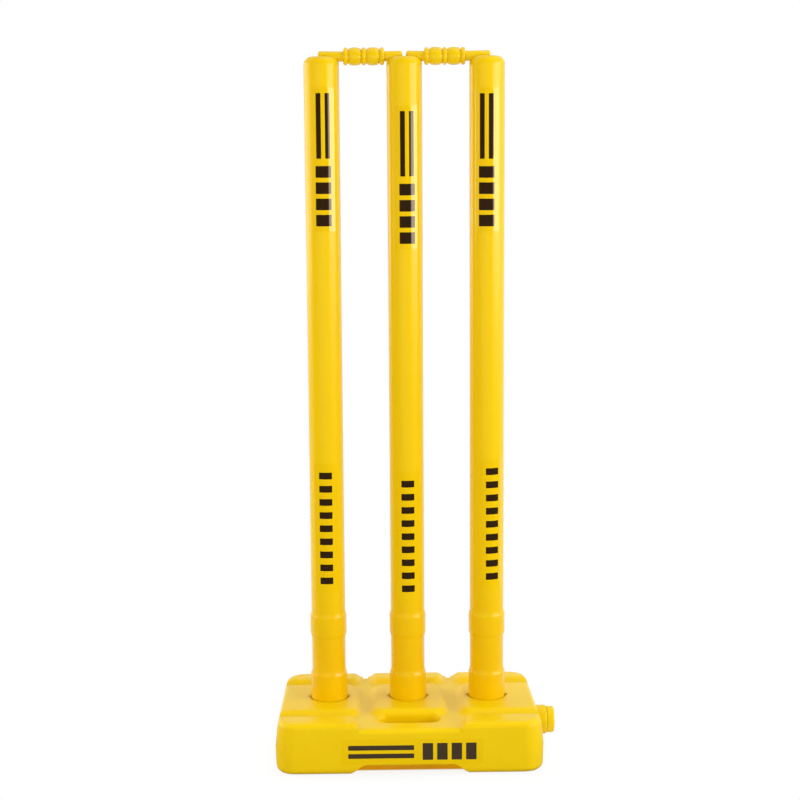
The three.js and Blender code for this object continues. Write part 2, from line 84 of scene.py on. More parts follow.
camera = bpy.data.objects.new("camera", bpy.data.cameras.new("camera"))
bpy.context.scene.collection.objects.link(camera)
camera.data.lens = LENS_MM
camera.data.sensor_width = SENSOR_MM
camera.matrix_world = Matrix(
    [
        (right.x, up.x, -ahead.x, EYE.x),
        (right.y, up.y, -ahead.y, EYE.y),
        (right.z, up.z, -ahead.z, EYE.z),
        (0, 0, 0, 1),
    ]
)
bpy.context.scene.camera = camera
bpy.context.scene.view_settings.view_transform = "Standard"
print("camera looks along", [round(v, 3) for v in ahead])

# %% [markdown]
# ## Small helpers for modelling by hand
# Every new piece below starts as a primitive and is shaped in edit mode. A few things come up
# each time: making one piece the only one selected, going into edit mode, selecting faces or
# points by their place, and settling a finished piece. Each is a short function, so that the
# cells read like the steps of a tutorial.

# %% Helpers: selecting and editing a piece
def choose(piece):
    """Leaves edit mode, and makes one piece active and the only one selected."""
    if bpy.context.object and bpy.context.object.mode != "OBJECT":
        bpy.ops.object.mode_set(mode="OBJECT")
    bpy.ops.object.select_all(action="DESELECT")
    piece.select_set(True)
    bpy.context.view_layer.objects.active = piece


def start_edit(piece):
    """Enters edit mode on one piece, with nothing selected in it."""
    choose(piece)
    bpy.ops.object.mode_set(mode="EDIT")
    bpy.ops.mesh.select_all(action="DESELECT")


def pick(piece, kind, wanted):
    """Selects the points or faces of the piece in edit mode for which wanted is true."""
    modes = {"VERT": (True, False, False), "FACE": (False, False, True)}
    bpy.ops.mesh.select_all(action="DESELECT")
    bpy.context.tool_settings.mesh_select_mode = modes[kind]
    bpy.ops.object.mode_set(mode="OBJECT")
    for item in {"VERT": piece.data.vertices, "FACE": piece.data.polygons}[kind]:
        item.select = wanted(item)
    bpy.ops.object.mode_set(mode="EDIT")


# %% Helpers: copying, joining and finishing a piece
def apply_modifiers(piece):
    """Applies every modifier of the piece, from the top of its list."""
    choose(piece)
    for modifier in list(piece.modifiers):
        bpy.ops.object.modifier_apply(modifier=modifier.name)


def copy_of(piece):
    """A copy of a piece, with a mesh of its own."""
    copy = piece.copy()
    copy.data = piece.data.copy()
    bpy.context.scene.collection.objects.link(copy)
    return copy


def join_pieces(pieces):
    """Joins pieces into the first one."""
    choose(pieces[0])
    for piece in pieces:
        piece.select_set(True)
    bpy.ops.object.join()
    return pieces[0]


def finish_piece(piece, name, body, material, smooth_degrees=30):
    """Settles a modelled piece: place in its mesh, smooth shading, material and body."""
    choose(piece)
    bpy.ops.object.transform_apply(location=True, rotation=True, scale=True)
    bpy.ops.object.shade_smooth_by_angle(angle=math.radians(smooth_degrees))
    piece.name = name
    piece.data.name = name
    piece.data.materials.clear()
    piece.data.materials.append(material)
    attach(piece, body)
    bpy.ops.object.select_all(action="DESELECT")
    print(name, "has", len(piece.data.polygons), "faces")
    return piece

# %% [markdown]
# ## Effects that several finishes share
# A blow-moulded wall has no truly sharp edge, a faint grain from the blasted mould, and a fine
# seam where the two halves of the mould met. Each effect is a node group with named sockets, so
# that tank, stumps, bails and cap use the same effect at their own scale.

# %% Helper: an empty node group with named sockets
def new_group(name, inputs, outputs):
    """Makes a shader node group. Sockets are (name, type, default) and (name, type)."""
    group = bpy.data.node_groups.new(name, "ShaderNodeTree")
    for socket_name, kind, default in inputs:
        socket = group.interface.new_socket(socket_name, in_out="INPUT", socket_type=kind)
        socket.default_value = default
    for socket_name, kind in outputs:
        group.interface.new_socket(socket_name, in_out="OUTPUT", socket_type=kind)
    start = group.nodes.new("NodeGroupInput")
    end = group.nodes.new("NodeGroupOutput")
    return group, start, end


# %% Helpers: the three nodes that come up most
def ramp(nodes, low=0.0, high=1.0, start=0.0, end=1.0, smooth=False):
    """A node whose result goes from start to end while its value goes from low to high."""
    node = nodes.new("ShaderNodeMapRange")
    node.interpolation_type = "SMOOTHSTEP" if smooth else "LINEAR"
    node.inputs["From Min"].default_value = low
    node.inputs["From Max"].default_value = high
    node.inputs["To Min"].default_value = start
    node.inputs["To Max"].default_value = end
    return node


def colour_mix(nodes, a=None, b=None):
    """A node that mixes two colours. One that is left out is linked later."""
    node = nodes.new("ShaderNodeMix")
    node.data_type = "RGBA"
    for socket, colour in (("A", a), ("B", b)):
        if colour:
            node.inputs[socket].default_value = (*colour, 1)
    return node


def reckon(nodes, kind, operation):
    """A Math or VectorMath node, set to its operation."""
    node = nodes.new("ShaderNode" + kind)
    node.operation = operation
    return node

# %% [markdown]
# ### Moulded edges
# Plastic flows round the mould's edges and thins there. Bevelling the mesh would cost
# thousands of faces, so a Bevel node rounds the shading instead. Where its normal turns away
# from the true one there is an edge, and that turn is the mask for a painted highlight that
# makes the edge paler.

# %% Effect: moulded edges, rounded in the shading, with a painted highlight that makes them a little paler
# The cosine of the turn where an edge begins, and where it is full.
EDGE_BEGINS = 0.995
EDGE_FULL = 0.8
EDGE_SAMPLES = 6


def make_edge_group():
    group, start, end = new_group(
        "moulded_edges",
        [("Radius", "NodeSocketFloat", 0.001)],
        [("Normal", "NodeSocketVector"), ("Edge", "NodeSocketFloat")],
    )
    bevel = group.nodes.new("ShaderNodeBevel")
    bevel.samples = EDGE_SAMPLES
    geometry = group.nodes.new("ShaderNodeNewGeometry")
    dot = reckon(group.nodes, "VectorMath", "DOT_PRODUCT")
    # The edge mask, which lays a painted highlight on the moulded edges.
    edge = ramp(group.nodes, EDGE_BEGINS, EDGE_FULL)
    link = group.links.new
    link(start.outputs["Radius"], bevel.inputs["Radius"])
    link(bevel.outputs["Normal"], dot.inputs[0])
    link(geometry.outputs["Normal"], dot.inputs[1])
    link(dot.outputs["Value"], edge.inputs["Value"])
    link(bevel.outputs["Normal"], end.inputs["Normal"])
    link(edge.outputs["Result"], end.inputs["Edge"])
    return group


edge_group = make_edge_group()
print("made", edge_group.name)

# %% [markdown]
# ### Mould grain
# The wall carries a fine grain, and slow waves where it shrank unevenly as it cooled. Two noises
# of very different size do this. The mixed one is a height for the bump, the slow one also makes
# the colour drift, and the fine one varies the gloss. Stretch draws the waves out along Z, which
# suits a long tube.

# %% Effect: mould grain, with slow waves in the wall and a drift of colour
GRAIN_DETAIL = 3.0
WAVE_DETAIL = 1.0


def make_grain_group():
    group, start, end = new_group(
        "mould_grain",
        [
            ("Grain Size", "NodeSocketFloat", 900.0),
            ("Wave Size", "NodeSocketFloat", 18.0),
            ("Stretch", "NodeSocketFloat", 1.0),
            ("Wave Share", "NodeSocketFloat", 0.7),
        ],
        [
            ("Height", "NodeSocketFloat"),
            ("Drift", "NodeSocketFloat"),
            ("Speckle", "NodeSocketFloat"),
        ],
    )
    place = group.nodes.new("ShaderNodeTexCoord")
    split = group.nodes.new("ShaderNodeSeparateXYZ")
    tall = reckon(group.nodes, "Math", "MULTIPLY")
    joined = group.nodes.new("ShaderNodeCombineXYZ")
    grain = group.nodes.new("ShaderNodeTexNoise")
    grain.inputs["Detail"].default_value = GRAIN_DETAIL
    wave = group.nodes.new("ShaderNodeTexNoise")
    wave.inputs["Detail"].default_value = WAVE_DETAIL
    mixed = group.nodes.new("ShaderNodeMix")
    link = group.links.new
    link(place.outputs["Object"], split.inputs["Vector"])
    link(split.outputs["X"], joined.inputs["X"])
    link(split.outputs["Y"], joined.inputs["Y"])
    link(split.outputs["Z"], tall.inputs[0])
    link(start.outputs["Stretch"], tall.inputs[1])
    link(tall.outputs["Value"], joined.inputs["Z"])
    link(place.outputs["Object"], grain.inputs["Vector"])
    link(start.outputs["Grain Size"], grain.inputs["Scale"])
    link(joined.outputs["Vector"], wave.inputs["Vector"])
    link(start.outputs["Wave Size"], wave.inputs["Scale"])
    link(start.outputs["Wave Share"], mixed.inputs["Factor"])
    link(grain.outputs["Fac"], mixed.inputs["A"])
    link(wave.outputs["Fac"], mixed.inputs["B"])
    link(mixed.outputs["Result"], end.inputs["Height"])
    link(wave.outputs["Fac"], end.inputs["Drift"])
    link(grain.outputs["Fac"], end.inputs["Speckle"])
    return group


grain_group = make_grain_group()
print("made", grain_group.name)

# %% [markdown]
# ### The parting line
# Where the mould's halves closed, the plastic has a faint raised line, half a millimetre wide.
# It follows a plane through the piece, so the distance from that plane is all that the effect
# needs. It is added to the height below it, and the finish makes one bump of both.

# %% Effect: the mould's parting line, a fine raised seam where a piece crosses a plane
SEAM_HALF_WIDTH = 0.3 * MM


def make_seam_group():
    group, start, end = new_group(
        "parting_line",
        [
            ("Plane Normal", "NodeSocketVector", (0.0, 1.0, 0.0)),
            ("Plane Offset", "NodeSocketFloat", 0.0),
            ("Half Width", "NodeSocketFloat", SEAM_HALF_WIDTH),
            ("Height Below", "NodeSocketFloat", 0.0),
            ("Seam Share", "NodeSocketFloat", 0.5),
        ],
        [("Height", "NodeSocketFloat")],
    )
    place = group.nodes.new("ShaderNodeTexCoord")
    along = reckon(group.nodes, "VectorMath", "DOT_PRODUCT")
    offset = reckon(group.nodes, "Math", "SUBTRACT")
    away = reckon(group.nodes, "Math", "ABSOLUTE")
    ridge = ramp(group.nodes, start=1.0, end=0.0, smooth=True)
    total = reckon(group.nodes, "Math", "MULTIPLY_ADD")
    link = group.links.new
    link(place.outputs["Object"], along.inputs[0])
    link(start.outputs["Plane Normal"], along.inputs[1])
    link(along.outputs["Value"], offset.inputs[0])
    link(start.outputs["Plane Offset"], offset.inputs[1])
    link(offset.outputs["Value"], away.inputs[0])
    link(away.outputs["Value"], ridge.inputs["Value"])
    link(start.outputs["Half Width"], ridge.inputs["From Max"])
    link(ridge.outputs["Result"], total.inputs[0])
    link(start.outputs["Seam Share"], total.inputs[1])
    link(start.outputs["Height Below"], total.inputs[2])
    link(total.outputs["Value"], end.inputs["Height"])
    return group


seam_group = make_seam_group()
print("made", seam_group.name)

# %% [markdown]
# ## The yellow polyethylene
# All the yellow parts are the same resin, but each shows it a little differently: the tank is a
# cooler yellow with a visible grain, the stumps are deeper and smoother, the bails and the cap
# are finely moulded. One material for all of them would put the tank's grain on the bails. So a
# function builds it from the shared effects, and each part gives its own colours and scales.
# A seam is (plane normal, plane offset, share of the bump's height), and a stump's foot, a
# painted shade that turns the stump darker and more orange low down, is (colour, height where
# it is full, height where it ends).

# %% Helpers: a new material, a stump's painted foot shade and a seam
def new_material(name):
    """A material, with its nodes, the function that links them and its shader."""
    material = bpy.data.materials.new(name)
    material.use_nodes = True
    nodes = material.node_tree.nodes
    return material, nodes, material.node_tree.links.new, nodes["Principled BSDF"]


def add_foot_shade(nodes, link, plain_colour, foot):
    """Takes a colour as a socket, and gives it darker and more orange low down, as a painted shade.
    """
    foot_shade_colour, full_height, end_height = foot
    place = nodes.new("ShaderNodeTexCoord")
    split = nodes.new("ShaderNodeSeparateXYZ")
    level = ramp(nodes, full_height, end_height, smooth=True)
    foot_shaded = colour_mix(nodes, a=foot_shade_colour)
    link(place.outputs["Object"], split.inputs["Vector"])
    link(split.outputs["Z"], level.inputs["Value"])
    link(level.outputs["Result"], foot_shaded.inputs["Factor"])
    link(plain_colour, foot_shaded.inputs["B"])
    return foot_shaded.outputs["Result"]


def add_seam(nodes, link, height, seam):
    """Takes a bump's height as a socket, and gives it with a seam on it."""
    parting = nodes.new("ShaderNodeGroup")
    parting.node_tree = seam_group
    parting.inputs["Plane Normal"].default_value = seam[0]
    parting.inputs["Plane Offset"].default_value = seam[1]
    parting.inputs["Seam Share"].default_value = seam[2]
    link(height, parting.inputs["Height Below"])
    return parting.outputs["Height"]


# %% Finish: a polyethylene built from the shared effects
# The middle of a noise, where nearly all its values lie.
NOISE_LOW = 0.3
NOISE_HIGH = 0.7
PLASTIC_IOR = 1.5


def polyethylene(
    name,
    colour,
    deep_colour,
    edge_highlight_colour,
    shine,
    roughness,
    grain,
    stretch,
    edge_radius,
    seam=None,
    foot=None,
):
    """A semi-gloss yellow plastic. grain is (grain size, wave size, wave share, bump height)."""
    material, nodes, link, shader = new_material(name)
    shader.inputs["IOR"].default_value = PLASTIC_IOR
    shader.inputs["Specular IOR Level"].default_value = shine

    edges = nodes.new("ShaderNodeGroup")
    edges.node_tree = edge_group
    edges.inputs["Radius"].default_value = edge_radius
    texture = nodes.new("ShaderNodeGroup")
    texture.node_tree = grain_group
    texture.inputs["Grain Size"].default_value = grain[0]
    texture.inputs["Wave Size"].default_value = grain[1]
    texture.inputs["Wave Share"].default_value = grain[2]
    texture.inputs["Stretch"].default_value = stretch

    drift = ramp(nodes, NOISE_LOW, NOISE_HIGH)
    base = colour_mix(nodes, deep_colour, colour)
    paler = colour_mix(nodes, b=edge_highlight_colour)
    gloss = ramp(nodes, NOISE_LOW, NOISE_HIGH, *roughness)
    bump = nodes.new("ShaderNodeBump")
    bump.inputs["Distance"].default_value = grain[3]
    bump.inputs["Strength"].default_value = 1.0

    link(texture.outputs["Drift"], drift.inputs["Value"])
    link(drift.outputs["Result"], base.inputs["Factor"])
    plain_colour = base.outputs["Result"]
    # A painted shade: the colour turns darker and more orange low down on a stump.
    if foot:
        plain_colour = add_foot_shade(nodes, link, plain_colour, foot)
    height = texture.outputs["Height"]
    if seam:
        height = add_seam(nodes, link, height, seam)
    # A painted highlight: the colour turns paler on the edges.
    link(plain_colour, paler.inputs["A"])
    link(edges.outputs["Edge"], paler.inputs["Factor"])
    link(paler.outputs["Result"], shader.inputs["Base Color"])
    link(texture.outputs["Speckle"], gloss.inputs["Value"])
    link(gloss.outputs["Result"], shader.inputs["Roughness"])
    link(height, bump.inputs["Height"])
    link(edges.outputs["Normal"], bump.inputs["Normal"])
    link(bump.outputs["Normal"], shader.inputs["Normal"])
    return material


# %% The four yellows
# Each edge colour below is the painted highlight on that part's moulded edges.
tank_yellow = polyethylene(
    "tank_yellow",
    colour=(0.86, 0.6, 0.0),
    deep_colour=(0.84, 0.575, 0.0),
    edge_highlight_colour=(0.93, 0.68, 0.0),
    shine=0.22,
    roughness=(0.3, 0.4),
    grain=(700.0, 30.0, 0.35, 0.00025),
    stretch=1.0,
    edge_radius=0.0025,
    seam=((0.0, 0.0, 1.0), 0.0255, 0.3),
)
stump_yellow = polyethylene(
    "stump_yellow",
    colour=(0.865, 0.58, 0.0),
    deep_colour=(0.855, 0.56, 0.0),
    edge_highlight_colour=(0.91, 0.61, 0.0),
    shine=0.3,
    roughness=(0.2, 0.26),
    grain=(1400.0, 22.0, 0.6, 0.00012),
    stretch=0.25,
    edge_radius=0.0005,
    seam=((0.0, 1.0, 0.0), 0.0, 0.8),
    # The foot colour is a painted shade, darker and more orange low down.
    foot=((0.82, 0.505, 0.0), 0.07, 0.22),
)
bail_yellow = polyethylene(
    "bail_yellow",
    colour=(0.865, 0.59, 0.0),
    deep_colour=(0.855, 0.57, 0.0),
    edge_highlight_colour=(0.91, 0.61, 0.0),
    shine=0.5,
    roughness=(0.2, 0.27),
    grain=(1800.0, 60.0, 0.5, 0.00006),
    stretch=1.0,
    edge_radius=0.0004,
    seam=((0.0, 1.0, 0.0), 0.0, 1.0),
)
cap_yellow = polyethylene(
    "cap_yellow",
    colour=(0.86, 0.62, 0.0),
    deep_colour=(0.85, 0.605, 0.0),
    edge_highlight_colour=(0.92, 0.71, 0.0),
    shine=0.3,
    roughness=(0.3, 0.38),
    grain=(1500.0, 60.0, 0.5, 0.00006),
    stretch=1.0,
    edge_radius=0.0005,
)
print("polyethylenes:", [m.name for m in (tank_yellow, stump_yellow, bail_yellow, cap_yellow)])

# %% [markdown]
# ## Rubber, film and ink
# The seal in the cap is dull black rubber. The labels are clear film laminated on the plastic:
# what shows is the yellow underneath with a much harder shine, so the film is made as a glossy
# yellow skin with a clear coat, which exports better than real transparency. The ink is a warm
# charcoal under the same film.

# %% Finishes: seal rubber, label film and ink
def plain_finish(name, colour, other_colour, roughness, scale):
    """A material whose colour and roughness vary by a noise of the given scale."""
    material, nodes, link, shader = new_material(name)
    place = nodes.new("ShaderNodeTexCoord")
    noise = nodes.new("ShaderNodeTexNoise")
    noise.inputs["Scale"].default_value = scale
    noise.inputs["Detail"].default_value = GRAIN_DETAIL
    mixed = colour_mix(nodes, colour, other_colour)
    gloss = ramp(nodes, start=roughness[0], end=roughness[1])
    link(place.outputs["Object"], noise.inputs["Vector"])
    link(noise.outputs["Fac"], mixed.inputs["Factor"])
    link(noise.outputs["Fac"], gloss.inputs["Value"])
    link(mixed.outputs["Result"], shader.inputs["Base Color"])
    link(gloss.outputs["Result"], shader.inputs["Roughness"])
    return material


# Each one's two colours, its least and greatest roughness, and the scale of its noise.
SEAL_BLACK = ((0.018, 0.018, 0.02), (0.03, 0.03, 0.033), (0.7, 0.85), 900)
STUMP_FILM = ((0.86, 0.57, 0.0), (0.85, 0.555, 0.0), (0.08, 0.13), 60)
TANK_FILM = ((0.84, 0.575, 0.0), (0.82, 0.56, 0.0), (0.2, 0.28), 60)
STUMP_INK = ((0.024, 0.011, 0.003), (0.032, 0.015, 0.005), (0.1, 0.16), 300)
TANK_INK = ((0.05, 0.035, 0.02), (0.06, 0.043, 0.026), (0.2, 0.3), 300)

seal_black = plain_finish("seal_black", *SEAL_BLACK)
stump_film = plain_finish("stump_film", *STUMP_FILM)
tank_film = plain_finish("tank_film", *TANK_FILM)
stump_ink = plain_finish("stump_ink", *STUMP_INK)
tank_ink = plain_finish("tank_ink", *TANK_INK)

# %% The shine of film and ink
# For each laminate: its shine, its clear coat, and the tint of what shines in it.
WHITE_SHINE = (1.0, 1.0, 1.0)
WARM_SHINE = (1.0, 0.84, 0.6)
COAT_ROUGHNESS = 0.05
LAMINATED = {
    stump_film: (0.45, 0.3, WHITE_SHINE),
    stump_ink: (0.9, 0.1, WARM_SHINE),
    tank_film: (0.2, 0.0, WHITE_SHINE),
    tank_ink: (0.3, 0.0, WARM_SHINE),
}
for laminate, (shine, coat, tint) in LAMINATED.items():
    laminate_shader = laminate.node_tree.nodes["Principled BSDF"]
    laminate_shader.inputs["Specular IOR Level"].default_value = shine
    laminate_shader.inputs["Specular Tint"].default_value = (*tint, 1)
    laminate_shader.inputs["Coat Weight"].default_value = coat
    laminate_shader.inputs["Coat Roughness"].default_value = COAT_ROUGHNESS
print("plain finishes:", [m.name for m in (seal_black, *LAMINATED)])

# %% [markdown]
# ## Dressing the CAD pieces
# The CAD pieces have the right shape and stay. They come in as loose triangles, so each gets a
# Weld modifier that joins them, an Edge Split that keeps the real edges crisp, and a Weighted
# Normal that lets the large faces rule the shading of the roundings next to them.

# %% Give every CAD node its finish and smooth its shading
NODE_FINISH = {
    "base_tank": tank_yellow,
    "filler_cap": cap_yellow,
    "filler_seal": seal_black,
    "stump_left": stump_yellow,
    "stump_middle": stump_yellow,
    "stump_right": stump_yellow,
    "bail_left": bail_yellow,
    "bail_right": bail_yellow,
}
WELD_DISTANCE = 0.02 * MM
CRISP_ANGLE = math.radians(34)


def dress_node(name, material):
    """Gives a CAD node its material and the modifiers that smooth its shading."""
    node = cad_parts[name]
    node.data.materials.clear()
    node.data.materials.append(material)
    choose(node)
    bpy.ops.object.shade_smooth()
    if node.data.has_custom_normals:
        bpy.ops.mesh.customdata_custom_splitnormals_clear()
    weld = node.modifiers.new("join triangles", "WELD")
    weld.merge_threshold = WELD_DISTANCE
    split = node.modifiers.new("crisp edges", "EDGE_SPLIT")
    split.split_angle = CRISP_ANGLE
    normals = node.modifiers.new("large faces rule", "WEIGHTED_NORMAL")
    normals.keep_sharp = True
    node.select_set(False)


for node_name, finish in NODE_FINISH.items():
    dress_node(node_name, finish)
print("dressed", len(NODE_FINISH), "CAD nodes")

# %% [markdown]
# ## The bails
# A bail is a turned bar. A thin spigot at each end lies in the channels of two stump tops, and
# between them is a barrel of three narrow beads and two longer bulges, with tight valleys. The
# CAD bail has only a few facets on each of them. Here it is turned anew as on a lathe: a short
# disc is the first end, and its open face is extruded from station to station and scaled to the
# radius of each. The second bail is a copy that points the other way.

# %% The outline of a bail
BAIL_AXIS = 710.3 * MM
BAIL_START = 1.7 * MM
BAIL_LENGTH = 83.6 * MM
BAIL_SIDES = 56
SPIGOT_RADIUS = 5.35 * MM
SPIGOT_ROOT = 5.0 * MM
SPIGOT_ROUND = 2.4 * MM
BARREL_START = 18.1 * MM
BARREL_END = 58.5 * MM
BEAD_WIDTH = 4.4 * MM
BEAD_PEAK = 8.8 * MM
BULGE_PEAK = 8.9 * MM
BULGE_END = 7.0 * MM
VALLEY_RADIUS = 6.9 * MM
VALLEY_WIDTH = 0.7 * MM
BULGE_WIDTH = (BARREL_END - BARREL_START - 3 * BEAD_WIDTH - 4 * VALLEY_WIDTH) / 2
BEAD_STEPS = 10
BULGE_STEPS = 12
SPIGOT_STEPS = 4


def swelling(start, width, end_radius, peak_radius, steps):
    """Stations (place, radius) over one bead or bulge, closer together at its steep ends."""
    stations = []
    for step in range(steps + 1):
        turn = math.pi * step / steps
        place = start + width * (1 - math.cos(turn)) / 2
        stations.append((place, end_radius + (peak_radius - end_radius) * math.sin(turn)))
    return stations


def rounded_end(place, direction):
    """Stations over the rounded corner of a spigot, from its face inwards."""
    stations = []
    for step in range(SPIGOT_STEPS + 1):
        turn = math.pi / 2 * step / SPIGOT_STEPS
        along = SPIGOT_ROUND * (1 - math.cos(turn))
        radius = SPIGOT_RADIUS - SPIGOT_ROUND * (1 - math.sin(turn))
        stations.append((place + direction * along, radius))
    return stations


bead = (BEAD_WIDTH, VALLEY_RADIUS, BEAD_PEAK, BEAD_STEPS)
bulge = (BULGE_WIDTH, BULGE_END, BULGE_PEAK, BULGE_STEPS)
bail_stations = rounded_end(0, 1)
bail_stations.append((BARREL_START, SPIGOT_ROOT))
place = BARREL_START
for form in (bead, bulge, bead, bulge, bead):
    bail_stations.extend(swelling(place, *form))
    place += form[0] + VALLEY_WIDTH
bail_stations.append((BARREL_END, SPIGOT_ROOT))
bail_stations.extend(reversed(rounded_end(BAIL_LENGTH, -1)))
print("a bail has", len(bail_stations), "stations over", round(bail_stations[-1][0] / MM, 2), "mm")


# %% Turn one bail and copy it
SAME_HEIGHT = 0.0001 * MM


def turn_on_lathe(piece, stations):
    """Extrudes an upright disc's top face from station to station, scaled to each radius."""
    start_edit(piece)
    top = max(v.co.z for v in piece.data.vertices)
    pick(piece, "FACE", lambda face: face.center.z > top - SAME_HEIGHT)
    height, radius = stations[0]
    for next_height, next_radius in stations[1:]:
        step = next_height - height
        bpy.ops.mesh.extrude_region_move(TRANSFORM_OT_translate={"value": (0, 0, step)})
        share = next_radius / radius
        bpy.ops.transform.resize(value=(share, share, 1), center_override=(0, 0, next_height))
        height, radius = next_height, next_radius
    bpy.ops.object.mode_set(mode="OBJECT")


first_height, first_radius = bail_stations[1]
bpy.ops.mesh.primitive_cone_add(
    vertices=BAIL_SIDES,
    radius1=bail_stations[0][1],
    radius2=first_radius,
    depth=first_height,
    location=(0, 0, first_height / 2),
)
bail_right = bpy.context.object
bpy.ops.object.transform_apply(location=True)
turn_on_lathe(bail_right, bail_stations[1:])
bail_left = copy_of(bail_right)
for bail, side, direction in ((bail_right, "right", 1), (bail_left, "left", -1)):
    bail.rotation_euler = (0, direction * math.pi / 2, 0)
    bail.location = (direction * BAIL_START, 0, BAIL_AXIS)
    name = "bail_turned_" + side
    finish_piece(bail, name, side + " bail", bail_yellow, smooth_degrees=34)
    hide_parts("bail_" + side)
    ends = [round(v.co.x / MM, 2) for v in bail.data.vertices]
    print(name, "lies from", min(ends), "to", max(ends), "mm")

# %% [markdown]
# ## The film labels on the stumps
# Each stump carries two clear film labels on its front, a tall one high up and another low down,
# with charcoal print under the film. They show at arm's length by their hard shine and by the
# faint step at their edge. A piece of film on a round stump is a part of a thin tube. So each
# one starts as an open cone wall as wide as the stump. Two cuts through the stump's axis keep
# the arc of the label, a few short cuts round its corners, and Solidify gives it the thickness.

# %% Helpers: a patch of film on a round stump
STUMP_SPACING = 82 * MM
SHAFT_RADIUS_LOW = 17.4 * MM
SHAFT_RADIUS_HIGH = 17.6 * MM
SHAFT_STRAIGHT_END = 429.3 * MM
SHAFT_END = 703 * MM
TUBE_SIDES = 144
CORNER_CUTS = 4


def shaft_radius(z):
    """The stump's outer radius at a height, which grows a little towards the top."""
    share = min(max((z - SHAFT_STRAIGHT_END) / (SHAFT_END - SHAFT_STRAIGHT_END), 0), 1)
    return SHAFT_RADIUS_LOW + share * (SHAFT_RADIUS_HIGH - SHAFT_RADIUS_LOW)


def cut_away(point, normal):
    """Cuts the piece in edit mode along a plane, and clears what lies beyond it."""
    bpy.ops.mesh.select_all(action="SELECT")
    bpy.ops.mesh.bisect(plane_co=point, plane_no=normal, clear_outer=True)


def tube_patch(z_low, z_high, arc, turn, lift, thickness, corner):
    """Part of a tube round the middle stump. Its arc lies about turn degrees from the front."""
    radius = shaft_radius(z_high) + lift
    bpy.ops.mesh.primitive_cone_add(
        vertices=TUBE_SIDES,
        radius1=shaft_radius(z_low) + lift,
        radius2=radius,
        depth=z_high - z_low,
        end_fill_type="NOTHING",
        location=(0, 0, (z_low + z_high) / 2),
    )
    piece = bpy.context.object
    bpy.ops.object.transform_apply(location=True)
    start_edit(piece)
    for side in (-1, 1):
        angle = math.radians(turn) + side * arc / radius / 2
        outward = Vector((math.cos(angle), math.sin(angle), 0)) * side
        cut_away((0, 0, 0), outward)
        for end, upward in ((z_low, Vector((0, 0, -1))), (z_high, Vector((0, 0, 1)))):
            point = Vector((radius * math.sin(angle), -radius * math.cos(angle), end))
            centre = point - (outward + upward) * corner
            for cut in range(1, CORNER_CUTS):
                slant = math.pi / 2 * cut / CORNER_CUTS
                normal = outward * math.cos(slant) + upward * math.sin(slant)
                cut_away(centre + normal * corner, normal)
    bpy.ops.object.mode_set(mode="OBJECT")
    skin = piece.modifiers.new("thickness", "SOLIDIFY")
    skin.thickness = thickness
    skin.offset = 1
    apply_modifiers(piece)
    return piece


print("the shaft's radius is", SHAFT_RADIUS_LOW / MM, "to", SHAFT_RADIUS_HIGH / MM, "mm")

# %% [markdown]
# ### The print
# The print on these labels is plain: two long bars and four blocks on the tall label, and a
# ladder of nine rungs on the low one. It is a thin skin of ink that lies on the film, joined to
# one piece for each label. Each film and each print is made once, on the middle stump, and then
# copied to the other two, because every stump was turned a little differently in its socket.

# %% Model one set of films and prints
FILM_ARC = 25.5 * MM
FILM_CORNER = 1.2 * MM
FILM_LIFT = 0.03 * MM
FILM_THICKNESS = 0.08 * MM
INK_LIFT = 0.115 * MM
INK_THICKNESS = 0.03 * MM
INK_CORNER = 0.6 * MM
HIGH_FILM = (538.9 * MM, 680.4 * MM)
LOW_FILM = (160.9 * MM, 294.9 * MM)
BAR_WIDTH = 5 * MM
BAR_LENGTH = 64 * MM
BAR_PITCH = 9 * MM
BLOCK_WIDTH = 16 * MM
BLOCK_LENGTH = 11.5 * MM
BLOCK_PITCH = 16 * MM
BLOCK_COUNT = 4
RUNG_WIDTH = 13.5 * MM
RUNG_LENGTH = 7 * MM
RUNG_PITCH = 13.7 * MM
RUNG_COUNT = 9
FILM_EDGE_TO_INK = 5.4 * MM


def film_patch(low, high):
    """The film of one label, between two heights."""
    return tube_patch(low, high, FILM_ARC, 0, FILM_LIFT, FILM_THICKNESS, FILM_CORNER)


def ink_patch(high, length, width, turn=0.0):
    """One bar, block or rung of ink, hung from its upper edge."""
    return tube_patch(high - length, high, width, turn, INK_LIFT, INK_THICKNESS, INK_CORNER)


def tall_print():
    """Two long bars side by side, over a column of blocks."""
    high = HIGH_FILM[1] - FILM_EDGE_TO_INK
    turn = math.degrees(BAR_PITCH / 2 / SHAFT_RADIUS_HIGH)
    inks = [ink_patch(high, BAR_LENGTH, BAR_WIDTH, side * turn) for side in (-1, 1)]
    low = HIGH_FILM[0] + FILM_EDGE_TO_INK
    for block in range(BLOCK_COUNT):
        inks.append(ink_patch(low + BLOCK_LENGTH + block * BLOCK_PITCH, BLOCK_LENGTH, BLOCK_WIDTH))
    return join_pieces(inks)


def rung_print():
    """A ladder of rungs, in the middle of the low film."""
    middle = (LOW_FILM[0] + LOW_FILM[1]) / 2
    low = middle - (RUNG_PITCH * (RUNG_COUNT - 1) + RUNG_LENGTH) / 2
    highs = [low + RUNG_LENGTH + rung * RUNG_PITCH for rung in range(RUNG_COUNT)]
    return join_pieces([ink_patch(high, RUNG_LENGTH, RUNG_WIDTH) for high in highs])


label_masters = {
    "high_film": (film_patch(*HIGH_FILM), stump_film),
    "high_print": (tall_print(), stump_ink),
    "low_film": (film_patch(*LOW_FILM), stump_film),
    "low_print": (rung_print(), stump_ink),
}
for name, (master, _) in label_masters.items():
    print(name, "is", [round(v / MM, 2) for v in master.dimensions], "mm")

